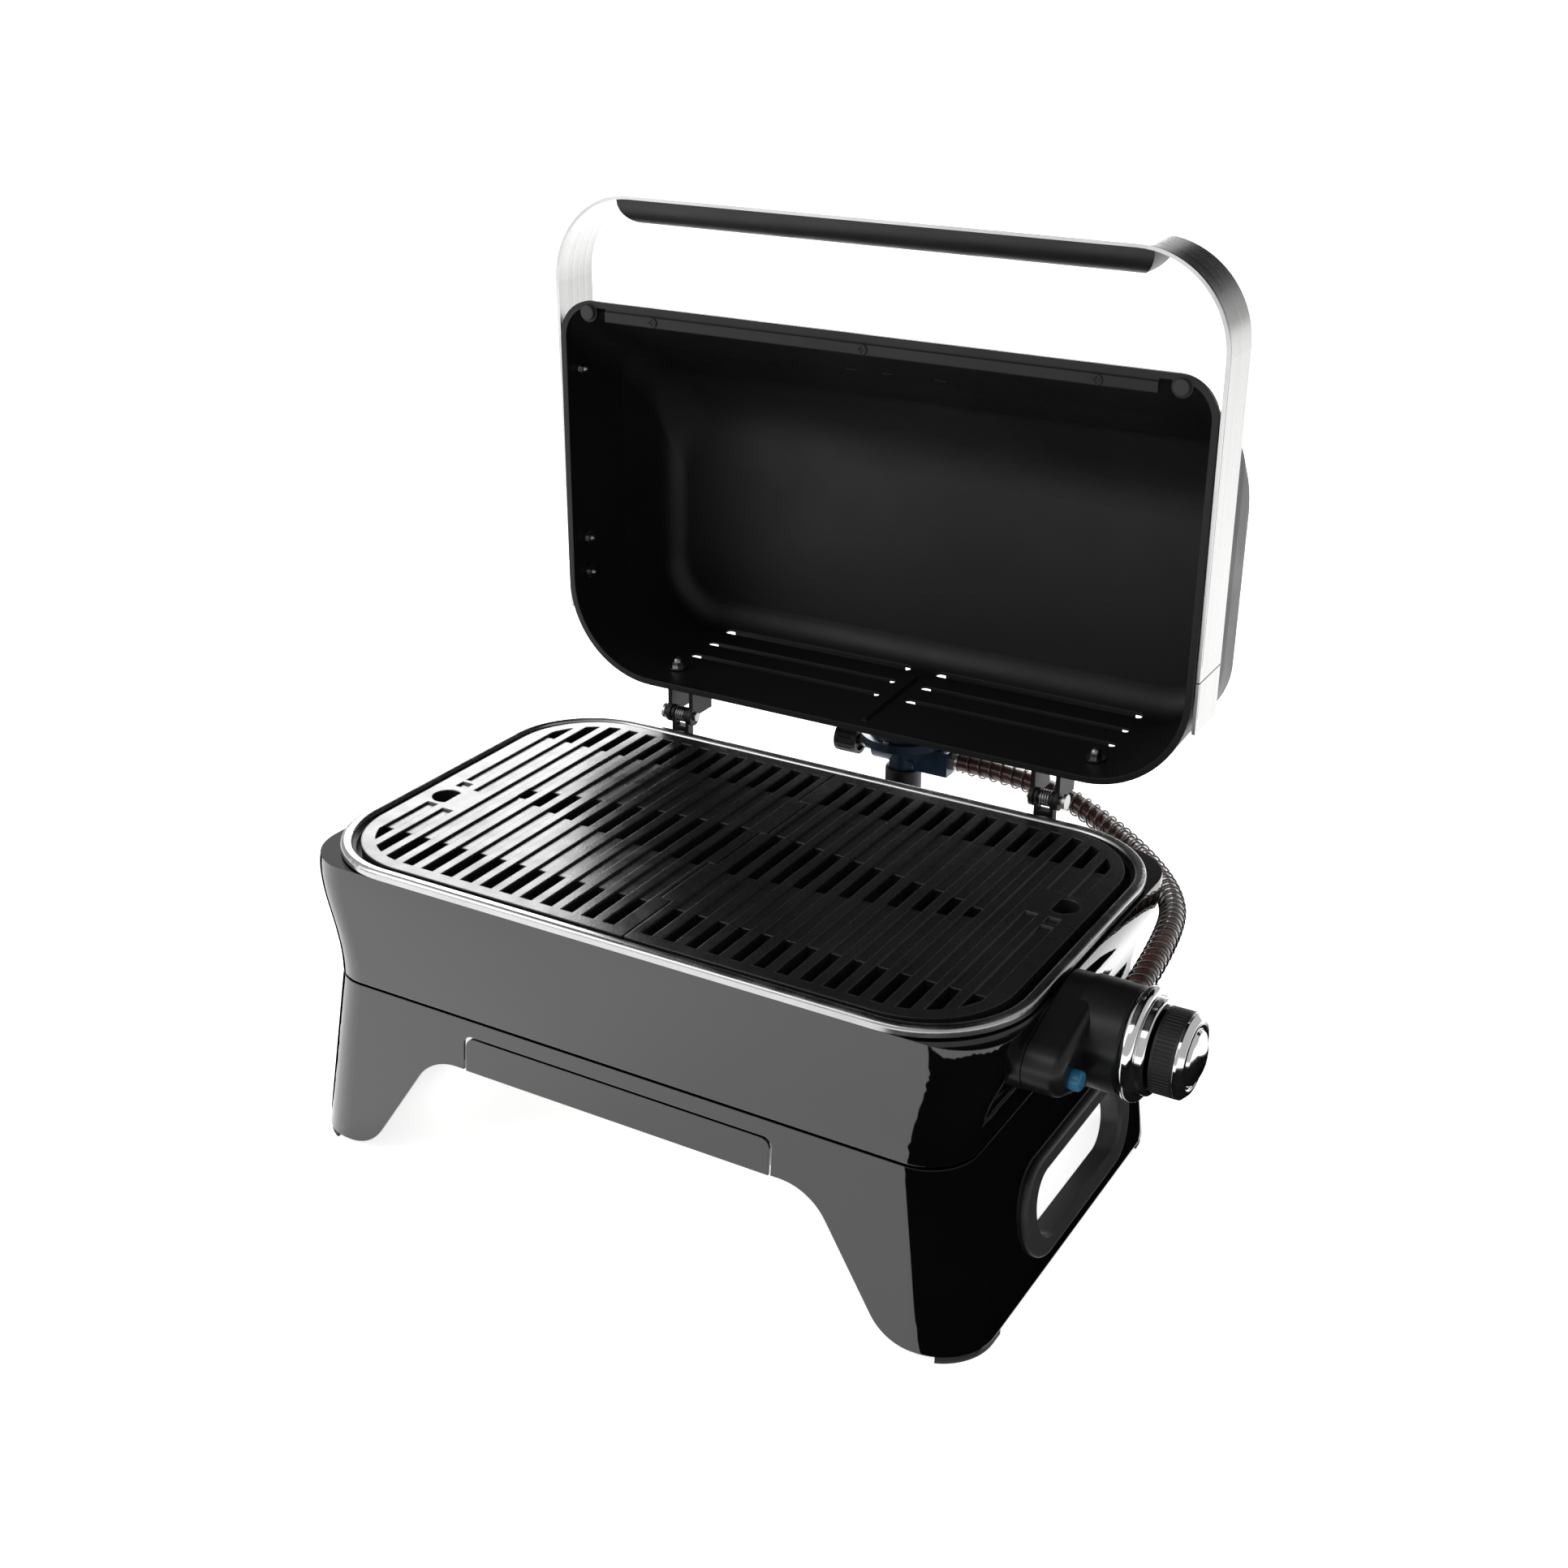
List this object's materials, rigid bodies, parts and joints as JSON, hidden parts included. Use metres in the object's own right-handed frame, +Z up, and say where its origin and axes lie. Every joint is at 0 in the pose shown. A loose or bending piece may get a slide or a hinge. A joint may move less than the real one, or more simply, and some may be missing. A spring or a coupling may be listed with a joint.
{
  "type": "portable gas grill",
  "caption": "Tabletop gas grill on leg base with split cast grates, open lid with strap handle, side control knob, hose and gas regulator.",
  "frame": {"origin": "on the floor, in the middle of the whole footprint (feet, knob and open lid, without the gas hose)", "axes": "+X to the control-knob side, +Y to the hinge side, +Z up; the lid is stored standing open"},
  "size_m": [0.5481, 0.4174, 0.5536],
  "materials": {
    "body_enamel": "gloss black moulded shell",
    "satin_black": "satin black heat-resistant paint",
    "cast_iron": "enamelled cast grate, semi-gloss",
    "bright_metal": "polished bright metal",
    "steel": "plain steel",
    "aluminium": "brushed aluminium strip",
    "black_plastic": "matte black plastic",
    "gloss_plastic": "gloss black plastic",
    "rubber": "black rubber",
    "ceramic": "white glazed insulator",
    "blue_button": "translucent blue",
    "regulator_blue": "dark blue lacquered casting",
    "brass": "machined brass",
    "hose_rubber": "dark brown gas hose"
  },
  "bodies": {
    "base": {"leg_base": "body_enamel", "upper_shell": "body_enamel", "rim_ring": "cast_iron", "firebox_pan": "satin_black", "heat_shield": "steel", "drawer_rails": "steel", "handle_bezel_right": "black_plastic", "handle_bezel_left": "black_plastic", "foot_pads": "rubber", "burner_tube": "steel", "flame_tamers": "steel", "burner_brackets": "steel", "igniter_electrode": "ceramic", "control_collar": "gloss_plastic", "control_housing": "gloss_plastic", "knob_bezel": "bright_metal", "gas_valve": "brass", "hose_fitting": "steel", "piezo_igniter": "black_plastic", "body_hinge_leaves": "satin_black", "hinge_pins": "steel", "hinge_springs": "steel", "hinge_rivets": "steel", "regulator_body": "regulator_blue", "regulator_cap": "regulator_blue", "regulator_screws": "steel", "regulator_collar": "black_plastic", "regulator_outlet": "steel", "regulator_spindle": "steel", "regulator_holder": "satin_black", "holder_screws": "steel", "gas_hose": "hose_rubber", "hose_spring_guard": "steel"},
    "lid": {"lid_shell": "satin_black", "lid_front_strip": "satin_black", "lid_strip_screws": "steel", "lid_bumpers": "rubber", "lid_hinge_leaves": "satin_black", "lid_hinge_fasteners": "steel", "handle_strip": "aluminium", "handle_end_plates": "aluminium", "handle_grip": "black_plastic", "handle_bolts": "steel"},
    "drawer": {"drawer_front": "body_enamel", "grease_tray": "steel"},
    "burner_knob": {"knob_grip": "black_plastic", "knob_cap": "bright_metal", "valve_stem": "steel"},
    "igniter_button": {"igniter_button": "blue_button"},
    "regulator_knob": {"regulator_knob": "black_plastic"},
    "grate_left": {"grate_left": "cast_iron"},
    "grate_right": {"grate_right": "cast_iron"}
  },
  "joints": [
    {"name": "lid_hinge", "type": "hinge", "parent": "base", "child": "lid", "pos_m": [-0.03895, 0.09025, 0.205], "axis": [1, 0, 0], "range_deg": [0, 90]},
    {"name": "drawer_slide", "type": "slide", "parent": "base", "child": "drawer", "axis": [0, -1, 0], "range_m": [0, 0.2]},
    {"name": "burner_knob_turn", "type": "hinge", "parent": "base", "child": "burner_knob", "pos_m": [0.25105, -0.10275, 0.1692], "axis": [1, 0, 0], "range_deg": [0, 180]},
    {"name": "igniter_press", "type": "slide", "parent": "base", "child": "igniter_button", "axis": [-1, 0, 0], "range_m": [0, 0.003], "stiffness_N_per_m": 400, "springref_m": -0.003},
    {"name": "regulator_knob_turn", "type": "hinge", "parent": "base", "child": "regulator_knob", "pos_m": [-0.08895, 0.17725, 0.175], "axis": [-1, 0, 0], "range_deg": [0, 270]},
    {"name": "grate_left_lift", "type": "slide", "parent": "base", "child": "grate_left", "axis": [0, 0, -1], "range_m": [-0.06, 0]},
    {"name": "grate_right_lift", "type": "slide", "parent": "base", "child": "grate_right", "axis": [0, 0, -1], "range_m": [-0.06, 0]}
  ]
}
